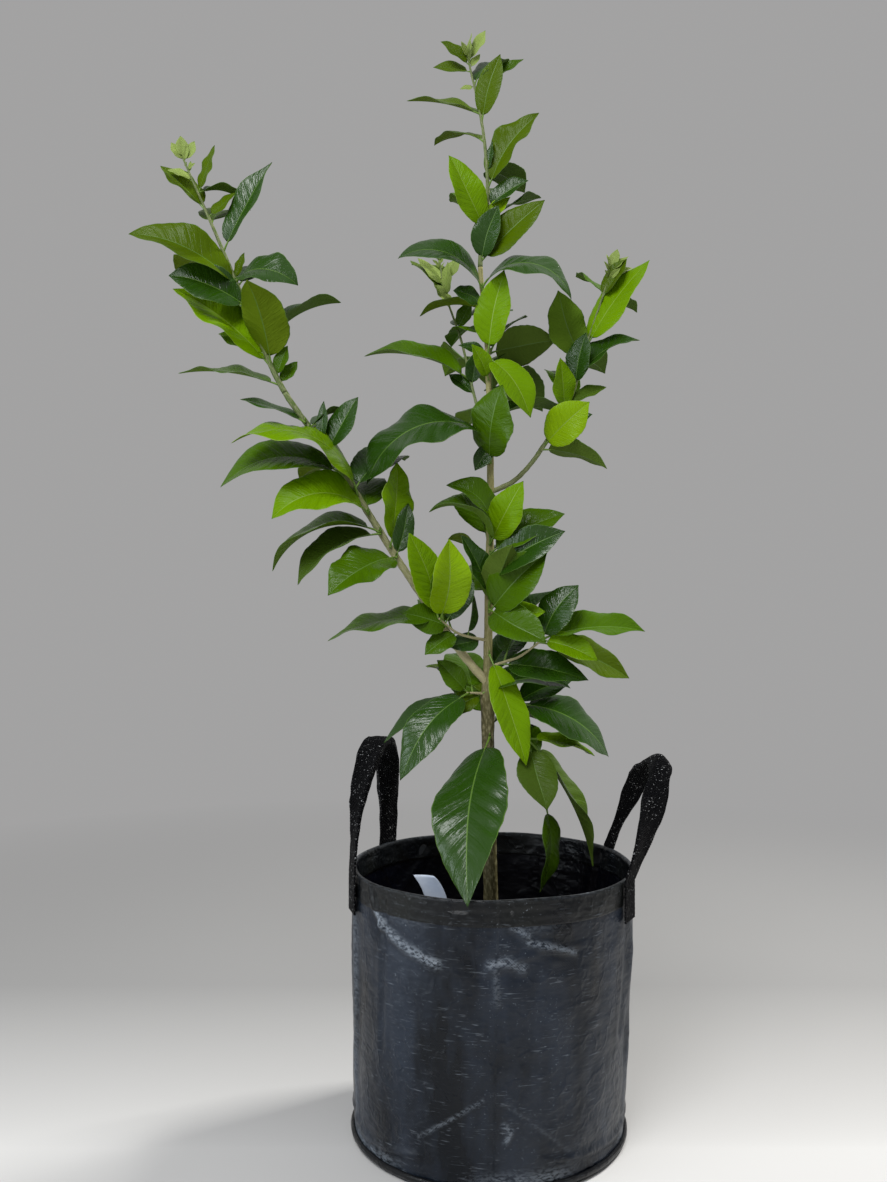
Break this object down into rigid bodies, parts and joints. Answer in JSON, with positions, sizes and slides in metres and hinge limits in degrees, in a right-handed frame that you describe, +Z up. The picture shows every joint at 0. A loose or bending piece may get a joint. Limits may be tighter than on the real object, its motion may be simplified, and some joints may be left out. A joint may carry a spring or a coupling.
{
  "type": "potted grapefruit tree",
  "caption": "Young grafted citrus tree with a tall leader, a long side bough and arching glossy leaves, standing in a round woven plastic grow bag with webbing handles.",
  "frame": {"origin": "centre of the grow bag's flat underside", "axes": "+Z up along the tree, +X to the tree's right seen from the front, the front looks along -Y"},
  "size_m": [0.5654, 0.3073, 1.1739],
  "materials": {
    "woven_plastic": "glossy laminated woven plastic",
    "webbing": "coarse black webbing",
    "soil": "bark-based potting mix",
    "tag": "blank pale plastic",
    "bark": "young mottled bark",
    "green_bark": "young striped green bark",
    "foliage": "glossy living leaves on green twigs"
  },
  "bodies": {
    "root": {"grow_bag": "woven_plastic", "rim_hem": "woven_plastic", "base_welt": "woven_plastic", "soil": "soil", "plant_tag": "tag", "handle_left": "webbing", "handle_right": "webbing", "trunk": "bark", "left_bough_lower": "green_bark", "left_bough_upper": "green_bark", "right_bough": "green_bark", "foliage_top": "foliage", "foliage_middle_front": "foliage", "foliage_middle_back": "foliage", "foliage_centre_front": "foliage", "foliage_centre_back": "foliage", "foliage_left_top": "foliage", "foliage_left_middle": "foliage", "foliage_left_inner": "foliage", "foliage_low_left": "foliage", "foliage_low_front": "foliage", "foliage_low_right": "foliage", "foliage_low_right_twig": "foliage", "foliage_low_back": "foliage", "foliage_back_left": "foliage", "foliage_right": "foliage"}
  },
  "joints": []
}
